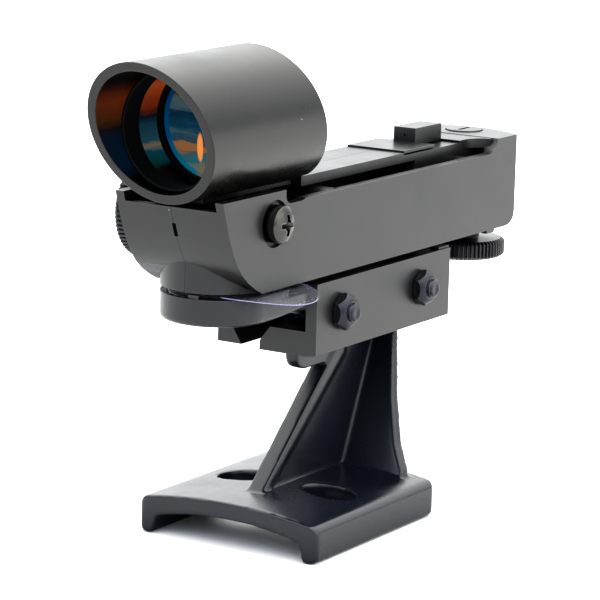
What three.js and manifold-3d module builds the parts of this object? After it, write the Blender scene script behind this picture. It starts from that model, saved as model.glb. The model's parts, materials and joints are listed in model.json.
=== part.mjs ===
// Reflex star pointer on a curved-saddle bracket.
// Millimetres, +Z up. The sight tube opens towards -Y. The bracket's base stands on Z = 0.
import * as THREE from "three";
import { mergeVertices } from "three/addons/utils/BufferGeometryUtils.js";
import Module from "manifold-3d";

const wasm = await Module();
wasm.setup();

// ---------------------------------------------------------------- driving dimensions

const BASE = { halfX: 22.4, halfY: 24.9, corner: 1.2, sideZ: 7.9, crownZ: 9.7, skirt: 3.4, shoulderZ: 3.8, archZ: 6 };
const SLOT = { x: 11, y: -1.4, halfX: 6, halfY: 4.7 };
const WEB = { half: 1.6, frontY: -0.8, lipZ: 34, rearY: 35 };
const RIB = { half: 2.1, depth: 2.8, bottomY: -15.2, topY: 16 };
const FLANGE = { bottomY: 18, topY: 33, thick: 3, bottomHalf: 17.5, topHalf: 5.4, topZ: 37.5 };
const RAIL = { half: 4.1, waistZ: 43.4, flankZ: 46.6, topZ: 47.9, rearY: 36 };

const SIGHT_X = 3.4; // centre plane of the sight, beside the centre plane of the bracket
const CASE = { half: 13, wall: 2, floorZ: 58.9, railZ: 76.5, lipZ: 79.1, topZ: 79.6, frontY: -53.2 };
const REAR = { sideY: 68.4, midY: 72.8, blockY: 58.5, radius: 3, ceilingZ: 73 };
const SEAM = 0.15; // half of the parting gap between the two case halves
const BEAM = { half: 7.5, frontY: -15.8, topZ: 79.5, flange: 2.1, wallY: 31.2, wallZ: 68 };
const BOSS = { y: -35.4, radius: 11.6, topZ: 68 };
const COVER = { rearY: -18.15, topZ: 57.65, frontZ: 51.9, rearZ: 53.5, edge: 1.2, ledgeZ: 55.9, tab: 0.75 };
const CELL = { radius: 10, thick: 3.2, bottomZ: 54.6 };
const FILM = { x: 9.6, y: -32.6, radius: 11.4, z: 58.1, thick: 0.25 };

const PIVOT = { y: -34, z: 72.6 }; // cross shaft that the sight tilts about
const STUD = { y: 66.7, radius: 2, capRadius: 4.1, capZ: 75.6 }; // upright shaft at the rear
const KNOB = { radius: 10.4, teeth: 36, tooth: 0.45 };
const SIDE_KNOB = { outerX: -20, thick: 6.2 };
const LOW_KNOB = { bottomZ: 50.6, thick: 4.2 };

const FOOT = { frontY: -17.2, rearY: 38.85, leftX: -11.5, rightX: 9.9, topZ: 57.5, jawZ: 42.4, ceilingZ: 54 };
const PLATE = { innerX: 10.3, outerX: 13, bottomZ: 42.3, jawX: -1, jawBottomZ: 41.9 };
const BOLT = { z: 50.4, radius: 2, frontY: -7.3, rearY: 26.1, endX: 16.9 };
const HOLE_GAP = 0.35; // radial clearance of holes that a fastener or shaft passes through
const FIT_GAP = 0.3; // space left between faces that rest on each other

const TUBE = { z: 92.4, frontRadius: 14.65, rearRadius: 14.95, bore: 12.7 };
const TUBE_CUT = { frontY: -60.05, frontSlope: -0.41, rearY: -18.4, rearSlope: -0.36 };
const PEDESTAL = { half: 6, frontY: -50, rearY: -17.4, bottomZ: 78 };
const LENS = { y: -35.5, radius: 12.3, thick: 2.2, bulge: 0.9 };
const LED = { half: 2.8, frontY: 39.3, rearY: 51, topZ: 83.1, plateY: 26.8, plate: 0.6, boreZ: 81.3 };
const LED_SEAT = 0.5;
const WHEEL = { x: -7.6, y: 14, z: 67.4, radius: 8, thick: 3 };
const BOARD = { left: -10.5, right: 4, front: 4, rear: 26, z: 64, thick: 1.4 };
const CASE_SCREWS = { case_screw_front: [-46, 73.5], case_screw_middle: [-9, 74], case_screw_rear: [50, 73.5] };

// ---------------------------------------------------------------- shape helpers

const ALONG_X = new THREE.Matrix4().makeBasis(
  new THREE.Vector3(0, 1, 0),
  new THREE.Vector3(0, 0, 1),
  new THREE.Vector3(1, 0, 0),
);

function solid(geometry) {
  const bare = geometry.index ? geometry.toNonIndexed() : geometry.clone();
  bare.deleteAttribute("normal");
  bare.deleteAttribute("uv");
  const merged = mergeVertices(bare, 1e-5);
  return new wasm.Manifold(
    new wasm.Mesh({
      numProp: 3,
      vertProperties: new Float32Array(merged.attributes.position.array),
      triVerts: new Uint32Array(merged.index.array),
    }),
  );
}

function toShape(outline) {
  if (outline instanceof THREE.Shape) return outline;
  return new THREE.Shape(outline.map(([u, v]) => new THREE.Vector2(u, v)));
}

function extruded(outline, depth, curveSegments = 12) {
  return new THREE.ExtrudeGeometry(toShape(outline), { depth, curveSegments, bevelEnabled: false });
}

// a prism along Z whose top and bottom edges are rounded
function roundedPrism(shape, z0, z1, radius, segments, bevelSegments) {
  const geometry = new THREE.ExtrudeGeometry(shape, {
    depth: z1 - z0 - 2 * radius,
    curveSegments: segments,
    bevelThickness: radius,
    bevelSize: radius,
    bevelOffset: -radius,
    bevelSegments,
  });
  return solid(geometry.translate(0, 0, z0 + radius));
}

// outline in Y and Z, swept along X
function prismX(outline, x0, x1, curveSegments) {
  return solid(extruded(outline, x1 - x0, curveSegments).applyMatrix4(ALONG_X).translate(x0, 0, 0));
}

// outline in X and Z, swept along Y
function prismY(outline, y0, y1, curveSegments) {
  return solid(extruded(outline, y1 - y0, curveSegments).rotateX(Math.PI / 2).translate(0, y1, 0));
}

// outline in X and Y, swept along Z
function prismZ(outline, z0, z1, curveSegments) {
  return solid(extruded(outline, z1 - z0, curveSegments).translate(0, 0, z0));
}

function box(x0, x1, y0, y1, z0, z1) {
  const geometry = new THREE.BoxGeometry(x1 - x0, y1 - y0, z1 - z0);
  return solid(geometry.translate((x0 + x1) / 2, (y0 + y1) / 2, (z0 + z1) / 2));
}

// profile of [radius, height] pairs turned about a line through (x, y, z) along the named axis
function turned(profile, axis, [x, y, z], segments = 24) {
  const points = profile.map(([r, h]) => new THREE.Vector2(r, h));
  const geometry = new THREE.LatheGeometry([...points, points[0]], segments);
  if (axis === "x") geometry.rotateZ(-Math.PI / 2);
  if (axis === "z") geometry.rotateX(Math.PI / 2);
  return solid(geometry.translate(x, y, z));
}

function rod(radius, from, to, axis, at, segments = 24) {
  return turned([[0, from], [radius, from], [radius, to], [0, to]], axis, at, segments);
}

function ring(outer, inner, from, to, axis, at, segments = 40) {
  return turned([[inner, from], [outer, from], [outer, to], [inner, to]], axis, at, segments);
}

function joined(...solids) {
  return solids.reduce((sum, next) => sum.add(next));
}

function cut(body, ...tools) {
  return tools.reduce((left, tool) => left.subtract(tool), body);
}

function mirrored(outline) {
  const other = outline.map(([u, v]) => [-u, v]).reverse();
  return [...outline, ...other];
}

function toGeometry(manifold) {
  const mesh = manifold.getMesh();
  const geometry = new THREE.BufferGeometry();
  geometry.setAttribute("position", new THREE.BufferAttribute(new Float32Array(mesh.vertProperties), 3));
  geometry.setIndex(new THREE.BufferAttribute(new Uint32Array(mesh.triVerts), 1));
  const flat = geometry.toNonIndexed();
  flat.computeVertexNormals();
  return flat;
}

// ---------------------------------------------------------------- materials

const FINISHES = {
  casting: [0x1b1b1d, 0.45, 0],
  case: [0x202022, 0.55, 0],
  knob: [0x141416, 0.35, 0],
  steel: [0x5a5a5c, 0.35, 1],
  blackSteel: [0x2b2b2d, 0.4, 1],
  brass: [0xb08d4a, 0.35, 1],
  cell: [0xc8c8c4, 0.25, 1],
  board: [0x1f5a2c, 0.6, 0],
  film: [0xd8e4f0, 0.1, 0],
  lens: [0x2d6f8f, 0.05, 0],
  led: [0xc02018, 0.2, 0],
};

function finish(name) {
  const [color, roughness, metalness] = FINISHES[name];
  return new THREE.MeshStandardMaterial({ color, roughness, metalness });
}

function place(group, name, finishName, manifold) {
  const mesh = new THREE.Mesh(toGeometry(manifold), finish(finishName));
  mesh.name = name;
  group.add(mesh);
}

// ---------------------------------------------------------------- bracket

function saddleBase() {
  const half = new THREE.Shape();
  const roof = new THREE.QuadraticBezierCurve(
    new THREE.Vector2(BASE.halfX - 1.2, BASE.sideZ),
    new THREE.Vector2(BASE.halfX / 2, BASE.crownZ),
    new THREE.Vector2(0, BASE.crownZ),
  );
  const inner = BASE.halfX - BASE.skirt;
  half.moveTo(inner, 0);
  half.lineTo(BASE.halfX - 0.8, 0);
  half.lineTo(BASE.halfX, 0.8);
  half.lineTo(BASE.halfX, BASE.sideZ - 1.2);
  half.lineTo(BASE.halfX - 1.2, BASE.sideZ);
  roof.getPoints(6).slice(1).forEach((p) => half.lineTo(p.x, p.y));
  half.lineTo(0, BASE.archZ);
  half.quadraticCurveTo(inner / 2, BASE.archZ, inner - 1, BASE.shoulderZ);
  half.closePath();
  const points = half.extractPoints(6).shape.map((p) => [p.x, p.y]);
  const other = points.map(([x, z]) => [-x, z]).reverse();
  const right = prismY(points, -BASE.halfY, BASE.halfY);
  const left = prismY(other, -BASE.halfY, BASE.halfY);
  return joined(right, left).intersect(prismZ(roundedRectangle(BASE.halfX, BASE.halfY, BASE.corner), -1, 12, 4));
}

function roundedRectangle(halfX, halfY, radius) {
  const shape = new THREE.Shape();
  shape.moveTo(-halfX + radius, -halfY);
  shape.lineTo(halfX - radius, -halfY);
  shape.absarc(halfX - radius, -halfY + radius, radius, -Math.PI / 2, 0);
  shape.absarc(halfX - radius, halfY - radius, radius, 0, Math.PI / 2);
  shape.absarc(-halfX + radius, halfY - radius, radius, Math.PI / 2, Math.PI);
  shape.absarc(-halfX + radius, -halfY + radius, radius, Math.PI, 1.5 * Math.PI);
  return shape;
}

function ovalSlot(x) {
  const shape = new THREE.Shape();
  shape.absellipse(x, SLOT.y, SLOT.halfX, SLOT.halfY, 0, 2 * Math.PI);
  return prismZ(shape, -1, 14, 12);
}

// slanted upright: a middle web, a thicker front edge and a rear flange that widens downwards
function upright() {
  const foot = BASE.crownZ - 1.2;
  const web = prismX(
    [
      [RIB.bottomY + 1, foot],
      [FLANGE.bottomY + 1, foot],
      [FLANGE.topY + 1, FLANGE.topZ],
      [WEB.rearY, 41],
      [WEB.frontY, 41],
      [WEB.frontY, WEB.lipZ + 3.4],
      [WEB.frontY + 0.45, WEB.lipZ + 1.7],
      [WEB.frontY + 1.4, WEB.lipZ + 0.6],
      [WEB.frontY + 3.2, WEB.lipZ],
      [RIB.topY, WEB.lipZ],
    ],
    -WEB.half,
    WEB.half,
  );
  const rib = prismX(
    [
      [RIB.bottomY, foot],
      [RIB.bottomY + RIB.depth, foot],
      [RIB.topY + RIB.depth, WEB.lipZ + 1],
      [RIB.topY + RIB.depth, 40],
      [RIB.topY, 38],
    ],
    -RIB.half,
    RIB.half,
  );
  const flangeSide = prismX(
    [
      [FLANGE.bottomY, foot - 1],
      [FLANGE.bottomY + FLANGE.thick, foot - 1],
      [FLANGE.topY + FLANGE.thick, FLANGE.topZ + 3.5],
      [FLANGE.topY, FLANGE.topZ + 3.5],
    ],
    -FLANGE.bottomHalf - 1,
    FLANGE.bottomHalf + 1,
  );
  const flangeFront = prismY(
    mirrored([
      [FLANGE.bottomHalf, foot - 1],
      [FLANGE.bottomHalf, BASE.crownZ],
      [FLANGE.bottomHalf - 3.4, BASE.crownZ + 5.5],
      [FLANGE.bottomHalf - 6.8, BASE.crownZ + 14],
      [FLANGE.topHalf, FLANGE.topZ + 3.5],
    ]),
    FLANGE.bottomY - 5,
    FLANGE.topY + 8,
  );
  return joined(web, rib, flangeSide.intersect(flangeFront));
}

// dovetail rail that the sight's jaws grip, on a neck that continues the web
function rail() {
  const profile = mirrored([
    [WEB.half, 40.5],
    [WEB.half, RAIL.waistZ],
    [RAIL.half, RAIL.flankZ],
    [RAIL.half, RAIL.topZ],
  ]);
  return prismY(profile, WEB.frontY, RAIL.rearY);
}

function bracket() {
  const body = joined(saddleBase(), upright(), rail());
  return cut(body, ovalSlot(SLOT.x), ovalSlot(-SLOT.x));
}

// ---------------------------------------------------------------- dovetail clamp

function pivotArm() {
  const arm = prismX(
    [
      [4, FOOT.topZ - 1],
      [4, FOOT.topZ + 3],
      [-10, 70],
      [PIVOT.y + 2.6, PIVOT.z + 4.2],
      [PIVOT.y - 2.6, PIVOT.z - 4.2],
      [-14.4, 63.4],
      [-14.4, FOOT.topZ - 1],
    ],
    -4.5,
    4.5,
  );
  return joined(arm, rod(4.9, -4.5, 4.5, "x", [0, PIVOT.y, PIVOT.z]));
}

function rearTongue() {
  return prismX(
    [
      [20, FOOT.topZ - 1],
      [38, FOOT.topZ - 1],
      [41, 64],
      [STUD.y + 3.3, 64],
      [STUD.y + 3.3, 68],
      [36, 68],
      [20, 60],
    ],
    -4,
    4,
  );
}

function boltHoles() {
  return [BOLT.frontY, BOLT.rearY].map((y) => rod(BOLT.radius + HOLE_GAP, -20, 20, "x", [0, y, BOLT.z]));
}

function dovetailFoot() {
  const section = [
    [FOOT.leftX, FOOT.jawZ],
    [-5.5, FOOT.jawZ],
    [-7.1, 44.9],
    [-8.4, 47],
    [-8.4, FOOT.ceilingZ],
    [FOOT.rightX, FOOT.ceilingZ],
    [FOOT.rightX, FOOT.topZ],
    [FOOT.leftX, FOOT.topZ],
  ];
  const body = joined(prismY(section, FOOT.frontY, FOOT.rearY), pivotArm(), rearTongue());
  const bearing = rod(4.2, -10, 10, "x", [0, PIVOT.y, PIVOT.z]);
  const studHole = rod(STUD.radius + 0.5, 55, 75, "z", [0, STUD.y, 0]);
  return cut(body, bearing, studHole, ...boltHoles());
}

function clampPlate() {
  const section = [
    [PLATE.jawX, PLATE.jawBottomZ],
    [PLATE.innerX, PLATE.jawBottomZ],
    [PLATE.outerX, PLATE.bottomZ],
    [PLATE.outerX, FOOT.topZ],
    [PLATE.innerX, FOOT.topZ],
    [PLATE.innerX, 47.2],
    [1.6, 47.2],
    [PLATE.jawX, 43.9],
  ];
  const stop = box(PLATE.innerX + 0.1, PLATE.outerX - 0.4, FOOT.rearY - 4.6, FOOT.rearY, 57, 58);
  return cut(joined(prismY(section, FOOT.frontY, FOOT.rearY), stop), ...boltHoles());
}

function clampBolt(y) {
  const start = FOOT.leftX - FIT_GAP;
  const profile = [
    [0, start - 2.6],
    [3.1, start - 2.6],
    [3.5, start - 2.1],
    [3.5, start],
    [BOLT.radius, start],
    [BOLT.radius, BOLT.endX - 0.4],
    [BOLT.radius - 0.4, BOLT.endX],
    [0, BOLT.endX],
  ];
  const socket = turned([[0, start - 3], [1.7, start - 3], [1.7, start - 1], [0, start - 1]], "x", [0, y, BOLT.z], 6);
  return cut(turned(profile, "x", [0, y, BOLT.z]), socket);
}

function hexNut(y) {
  const start = PLATE.outerX + FIT_GAP;
  const hex = rod(4.04, start, start + 2.5, "x", [0, y, BOLT.z], 6);
  const chamfer = turned(
    [
      [0, start - 0.1],
      [4.3, start - 0.1],
      [4.3, start + 1.7],
      [3.3, start + 2.5],
      [0, start + 2.5],
    ],
    "x",
    [0, y, BOLT.z],
  );
  return cut(hex.intersect(chamfer), rod(BOLT.radius + 0.1, 0, 30, "x", [0, y, BOLT.z]));
}

// ---------------------------------------------------------------- case halves

function frontCurve(shape, offset) {
  shape.bezierCurveTo(
    CASE.frontY + 4.1 + offset,
    CASE.lipZ - 13.2,
    -46.6 + offset,
    CASE.floorZ + 3.8 + offset / 2,
    -38.3 + offset / 2,
    CASE.floorZ + offset,
  );
}

function sideOutline() {
  const shape = new THREE.Shape();
  shape.moveTo(-30.15, CASE.lipZ);
  shape.lineTo(CASE.frontY, CASE.lipZ);
  frontCurve(shape, 0);
  shape.lineTo(REAR.midY - REAR.radius, CASE.floorZ);
  shape.lineTo(REAR.midY + 1, CASE.floorZ);
  shape.lineTo(REAR.midY + 1, CASE.topZ);
  shape.lineTo(REAR.blockY + 1, CASE.topZ);
  shape.quadraticCurveTo(REAR.blockY, CASE.railZ + 0.4, REAR.blockY - 3, CASE.railZ);
  shape.lineTo(-22.6, CASE.railZ);
  shape.quadraticCurveTo(-23.6, CASE.railZ - 0.4, -25, CASE.railZ - 0.4);
  shape.lineTo(-28, CASE.railZ - 0.4);
  shape.quadraticCurveTo(-30, CASE.railZ - 0.4, -30.15, CASE.railZ + 1.4);
  shape.closePath();
  return shape;
}

function rearRadius(inset) {
  const sag = REAR.midY - REAR.sideY;
  return (CASE.half ** 2 + sag ** 2) / (2 * sag) - inset;
}

// everything in front of the bowed rear face
function rearBowOutline(halfX, inset) {
  const radius = rearRadius(inset);
  const centreY = REAR.midY - rearRadius(0);
  const reach = Math.asin(halfX / radius);
  const shape = new THREE.Shape();
  shape.moveTo(-halfX, -70);
  shape.lineTo(halfX, -70);
  shape.lineTo(halfX, centreY + radius * Math.cos(reach));
  shape.absarc(0, centreY, radius, Math.PI / 2 - reach, Math.PI / 2 + reach);
  shape.closePath();
  return shape;
}

// plan of the battery cup: a half round nose with straight sides behind it
function cupOutline(rearY) {
  const shape = new THREE.Shape();
  shape.moveTo(-BOSS.radius, rearY);
  shape.lineTo(-BOSS.radius, BOSS.y);
  shape.absarc(0, BOSS.y, BOSS.radius, Math.PI, 2 * Math.PI);
  shape.lineTo(BOSS.radius, rearY);
  shape.closePath();
  return shape;
}

function caseOutside() {
  const body = prismX(sideOutline(), -CASE.half, CASE.half, 8);
  const boss = prismZ(cupOutline(COVER.rearY), CASE.floorZ, BOSS.topZ, 20);
  const bumps = [-1, 1].map((side) => box(side * 12 - 0.7, side * 12 + 0.7, 56.1, 59.6, CASE.floorZ - 0.8, 62));
  const bow = roundedPrism(rearBowOutline(CASE.half + REAR.radius + 0.5, 0), CASE.floorZ, 90, REAR.radius, 10, 4);
  return joined(body.intersect(bow), boss, ...bumps);
}

function frontCavity() {
  const shape = new THREE.Shape();
  const inset = CASE.wall;
  shape.moveTo(REAR.blockY - 2, 95);
  shape.lineTo(CASE.frontY + inset, 95);
  shape.lineTo(CASE.frontY + inset, CASE.lipZ);
  frontCurve(shape, inset);
  shape.lineTo(REAR.blockY - 2, CASE.floorZ + inset);
  shape.closePath();
  return prismX(shape, -CASE.half + inset, CASE.half - inset, 6);
}

function caseCavity() {
  const inner = CASE.half - CASE.wall;
  const slotEnd = prismZ(slotEndOutline(inner), CASE.floorZ + CASE.wall, 95, 6);
  const low = prismZ(rearBowOutline(inner, CASE.wall), CASE.floorZ + CASE.wall, REAR.ceilingZ, 10);
  return joined(frontCavity(), slotEnd, low.intersect(box(-20, 20, 0, 80, 50, 90)));
}

function slotEndOutline(inner) {
  const shape = new THREE.Shape();
  const radius = 2.4;
  const start = REAR.blockY - 4;
  shape.moveTo(-inner, start);
  shape.lineTo(inner, start);
  shape.lineTo(inner, REAR.blockY - radius);
  shape.absarc(inner - radius, REAR.blockY - radius, radius, 0, Math.PI / 2);
  shape.absarc(-inner + radius, REAR.blockY - radius, radius, Math.PI / 2, Math.PI);
  shape.closePath();
  return shape;
}

function beam() {
  const top = box(-BEAM.half, BEAM.half, BEAM.frontY, REAR.blockY + 2, BEAM.topZ - BEAM.flange, BEAM.topZ);
  const walls = [-1, 1].map((side) => {
    const middle = side * (BEAM.half - 1);
    return box(middle - 1, middle + 1, BEAM.wallY, REAR.blockY + 2, BEAM.wallZ + 5, BEAM.topZ - 1);
  });
  const flares = [-1, 1].map((side) => flare(side));
  return joined(top, ...walls, ...flares);
}

// the beam's top widens in a curve to the full width of the rear block
function flare(side) {
  const shape = new THREE.Shape();
  const inner = BEAM.half - 0.5;
  const outer = CASE.half - 1.5;
  shape.moveTo(inner, REAR.blockY - 5);
  shape.lineTo(BEAM.half, REAR.blockY - 5);
  shape.quadraticCurveTo(BEAM.half + 0.3, REAR.blockY - 0.6, outer, REAR.blockY);
  shape.lineTo(outer, REAR.blockY + 1);
  shape.lineTo(inner, REAR.blockY + 1);
  shape.closePath();
  const curve = prismZ(shape, BEAM.topZ - BEAM.flange, BEAM.topZ, 6);
  return side > 0 ? curve : curve.mirror([1, 0, 0]);
}

function shaftBores() {
  const cross = rod(STUD.radius + HOLE_GAP, -20, 20, "x", [0, PIVOT.y, PIVOT.z]);
  const recess = rod(4.9, CASE.half - 0.7, 20, "x", [0, PIVOT.y, PIVOT.z], 32);
  const stud = rod(STUD.radius + HOLE_GAP, 50, 90, "z", [0, STUD.y, 0]);
  const cap = rod(STUD.capRadius + FIT_GAP, STUD.capZ - FIT_GAP, 90, "z", [0, STUD.y, 0], 32);
  return [cross, recess, stud, cap];
}

function caseOpenings() {
  const inner = CASE.half - CASE.wall;
  const gate = box(-inner, inner, CASE.frontY - 5, CASE.frontY + 6, CASE.lipZ - 2, 90);
  const footWay = box(-9.5, 9.5, -17, 42, 55, CASE.floorZ + CASE.wall + 1);
  const wheelSlot = box(-20, -10.5, WHEEL.y - 7.2, WHEEL.y + 7.2, WHEEL.z - 0.5, WHEEL.z + WHEEL.thick + 0.5);
  const frontSlit = box(-0.45, 0.45, -60, -46, 70.8, 73.6);
  return [gate, footWay, wheelSlot, frontSlit];
}

function screwPosts() {
  return Object.values(CASE_SCREWS).map(([y, z]) => rod(2.7, -11.5, 11.5, "x", [0, y, z], 16));
}

function screwBores() {
  return Object.values(CASE_SCREWS).flatMap(([y, z]) => [
    rod(1.4 + HOLE_GAP, -14, 9, "x", [0, y, z], 16),
    rod(3.1, -14, -CASE.half + 1.7, "x", [0, y, z], 24),
  ]);
}

function caseBody() {
  const hollow = cut(caseOutside(), caseCavity());
  const shelf = box(-11.5, -9.6, BOARD.front, BOARD.rear, BOARD.z - 1.6, BOARD.z - FIT_GAP);
  const ledBore = box(-1.4, 1.4, LED.frontY + 3, LED.rearY - 2, 70, 90);
  const body = joined(hollow, beam(), shelf, ...screwPosts());
  const ledSeat = box(-9, 9, LED.plateY - FIT_GAP, LED.rearY + FIT_GAP, BEAM.topZ - LED_SEAT, 90);
  return cut(body, ...shaftBores(), ...caseOpenings(), ...screwBores(), ledBore, ledSeat);
}

function caseHalf(side) {
  const outer = 30 * side;
  const seam = SEAM * side;
  return caseBody().intersect(box(Math.min(outer, seam), Math.max(outer, seam), -80, 90, 40, 120));
}

function caseScrew([y, z]) {
  const head = -CASE.half + 1.7 - FIT_GAP;
  const profile = [
    [0, head - 1.2],
    [2.3, head - 1.2],
    [2.8, head - 0.7],
    [2.8, head],
    [1.4, head],
    [1.4, 8.2],
    [0, 8.7],
  ];
  return cut(turned(profile, "x", [0, y, z], 20), ...phillips(y, z, head - 1.2, 0.9, 1.5, 0.5));
}

// cross recess in a screw head whose outer face is at x, sunk in the given direction
function phillips(y, z, x, depth, reach, width) {
  const half = width / 2;
  const x0 = Math.min(x - depth, x + depth);
  const x1 = Math.max(x - depth, x + depth);
  return [
    box(x0, x1, y - reach, y + reach, z - half, z + half),
    box(x0, x1, y - half, y + half, z - reach, z + reach),
  ];
}

// ---------------------------------------------------------------- adjusters

function knurled(bore, thick, hubRadius, hubLength) {
  const outline = new THREE.Shape();
  for (let i = 0; i < KNOB.teeth; i += 1) {
    const step = (2 * Math.PI) / KNOB.teeth;
    const corners = [
      [KNOB.radius - KNOB.tooth, 0],
      [KNOB.radius, 0.3],
      [KNOB.radius, 0.7],
    ];
    corners.forEach(([radius, part]) => {
      const angle = (i + part) * step;
      const point = [radius * Math.cos(angle), radius * Math.sin(angle)];
      if (i === 0 && part === 0) outline.moveTo(...point);
      else outline.lineTo(...point);
    });
  }
  const body = prismZ(outline, 0, thick);
  const hub = rod(hubRadius, thick - 0.5, thick + hubLength, "z", [0, 0, 0]);
  const dish = turned([[0, -1], [7.6, -1], [7.6, 1], [0, 1]], "z", [0, 0, 0], 28);
  return cut(joined(body, hub), rod(bore, -5, thick + hubLength + 1, "z", [0, 0, 0]), dish);
}

function altitudeKnob() {
  const neck = CASE.floorZ - LOW_KNOB.bottomZ - LOW_KNOB.thick - 0.5;
  return knurled(STUD.radius + FIT_GAP, LOW_KNOB.thick, 4.4, neck).translate([0, STUD.y, LOW_KNOB.bottomZ]);
}

function altitudeShaft() {
  const profile = [
    [0, LOW_KNOB.bottomZ + 1.2],
    [STUD.radius, LOW_KNOB.bottomZ + 1.2],
    [STUD.radius, STUD.capZ],
    [STUD.capRadius, STUD.capZ],
    [STUD.capRadius, CASE.topZ],
    [STUD.capRadius - 0.3, CASE.topZ + 0.3],
    [0, CASE.topZ + 0.3],
  ];
  const groove = box(-0.45, 0.45, STUD.y - 2.4, STUD.y + 2.4, CASE.topZ - 0.5, CASE.topZ + 1);
  return cut(turned(profile, "z", [0, STUD.y, 0], 32), groove);
}

function altitudeNut() {
  const nut = rod(4.2, 68.3, 70.9, "z", [0, STUD.y - 0.2, 0], 6);
  return cut(nut, rod(STUD.radius + 0.5, 60, 75, "z", [0, STUD.y, 0]), box(-9, 9, 70, 80, 60, 80));
}

function azimuthKnob() {
  const neck = -CASE.half - 0.4 - SIDE_KNOB.outerX - SIDE_KNOB.thick;
  const knob = knurled(STUD.radius + FIT_GAP, SIDE_KNOB.thick, 4.4, neck);
  return knob.rotate([0, 90, 0]).translate([SIDE_KNOB.outerX, PIVOT.y, PIVOT.z]);
}

function azimuthShaft() {
  return rod(STUD.radius, SIDE_KNOB.outerX + 1.2, 8, "x", [0, PIVOT.y, PIVOT.z]);
}

function azimuthNut() {
  return ring(3.9, STUD.radius + 0.35, -4.3, 4.3, "x", [0, PIVOT.y, PIVOT.z], 28);
}

function pivotScrew() {
  const face = CASE.half - 0.7 + FIT_GAP;
  const profile = [
    [0, 8.3],
    [STUD.radius, 8.3],
    [STUD.radius, face],
    [3.9, face],
    [3.9, face + 2.5],
    [3.3, face + 3.2],
    [2, face + 3.6],
    [0, face + 3.7],
  ];
  const screw = turned(profile, "x", [0, PIVOT.y, PIVOT.z], 32);
  return cut(screw, ...phillips(PIVOT.y, PIVOT.z, face + 3.7, 2.2, 2.1, 0.9));
}

// ---------------------------------------------------------------- battery compartment

function coverUnderside() {
  const front = BOSS.y - BOSS.radius;
  const along = [
    [front - 1, COVER.frontZ - 1],
    [BOSS.y, COVER.frontZ],
    [COVER.rearY + 1, COVER.rearZ],
    [COVER.rearY + 1, 70],
    [front - 1, 70],
  ];
  return prismX(along, -20, 20);
}

function batteryCover() {
  const block = roundedPrism(cupOutline(COVER.rearY), COVER.frontZ, 65, COVER.edge, 16, 3);
  const body = block.intersect(coverUnderside()).intersect(box(-20, 20, -60, 0, 50, COVER.topZ));
  const pocket = rod(CELL.radius + 0.4, CELL.bottomZ - 0.6, 70, "z", [0, BOSS.y, 0], 36);
  const ledge = box(6, 15, COVER.rearY - 8, COVER.rearY - COVER.tab, COVER.ledgeZ, 60);
  const nib = box(0.6, 3, BOSS.y - 11.2, BOSS.y - 10, COVER.topZ - 1, COVER.topZ + 0.8);
  return joined(cut(body, pocket, ledge), nib);
}

function coinCell() {
  const top = CELL.bottomZ + CELL.thick;
  const profile = [
    [0, CELL.bottomZ],
    [CELL.radius - 1.2, CELL.bottomZ],
    [CELL.radius - 0.9, CELL.bottomZ + 0.5],
    [CELL.radius, CELL.bottomZ + 0.8],
    [CELL.radius, top - 0.3],
    [CELL.radius - 0.3, top],
    [0, top],
  ];
  return turned(profile, "z", [0, BOSS.y, 0], 36);
}

function upperContact() {
  const bottom = CASE.floorZ - 0.4;
  const strip = box(-3, 3, BOSS.y - 7, BOSS.y + 9, bottom, bottom + 0.25);
  return joined(strip, box(-5.5, 5.5, BOSS.y + 6, BOSS.y + 9, bottom, bottom + 0.25));
}

function lowerContact() {
  const strip = box(-2.5, 2.5, BOSS.y - 8, BOSS.y + 8, CELL.bottomZ - 0.5, CELL.bottomZ - 0.2);
  return joined(strip, box(-6, 6, BOSS.y - 1.5, BOSS.y + 1.5, CELL.bottomZ - 0.5, CELL.bottomZ - 0.2));
}

function pullTab() {
  const shape = new THREE.Shape();
  const leftX = -(FILM.x + FILM.radius + 2 * SIGHT_X);
  shape.moveTo(leftX, FILM.y - FILM.radius);
  shape.lineTo(FILM.x, FILM.y - FILM.radius);
  shape.absarc(FILM.x, FILM.y, FILM.radius, -Math.PI / 2, Math.PI / 2);
  shape.lineTo(leftX, FILM.y + FILM.radius);
  shape.closePath();
  return prismZ(shape, FILM.z, FILM.z + FILM.thick, 16);
}

// ---------------------------------------------------------------- electronics

function circuitBoard() {
  return box(BOARD.left, BOARD.right, BOARD.front, BOARD.rear, BOARD.z, BOARD.z + BOARD.thick);
}

function potentiometer() {
  const z = BOARD.z + BOARD.thick + FIT_GAP;
  const can = box(WHEEL.x - 3, WHEEL.x + 3, WHEEL.y - 3.5, WHEEL.y + 3.5, z, WHEEL.z - FIT_GAP);
  return joined(can, rod(1.5, WHEEL.z - 0.5, WHEEL.z + WHEEL.thick - 0.6, "z", [WHEEL.x, WHEEL.y, 0]));
}

function brightnessWheel() {
  const teeth = 30;
  const outline = new THREE.Shape();
  for (let i = 0; i < 2 * teeth; i += 1) {
    const radius = WHEEL.radius - (i % 2) * 0.4;
    const angle = (i * Math.PI) / teeth;
    const point = [radius * Math.cos(angle), radius * Math.sin(angle)];
    if (i === 0) outline.moveTo(...point);
    else outline.lineTo(...point);
  }
  const disc = prismZ(outline, WHEEL.z, WHEEL.z + WHEEL.thick).translate([WHEEL.x, WHEEL.y, 0]);
  return cut(disc, rod(1.8, 60, 80, "z", [WHEEL.x, WHEEL.y, 0]));
}

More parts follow.
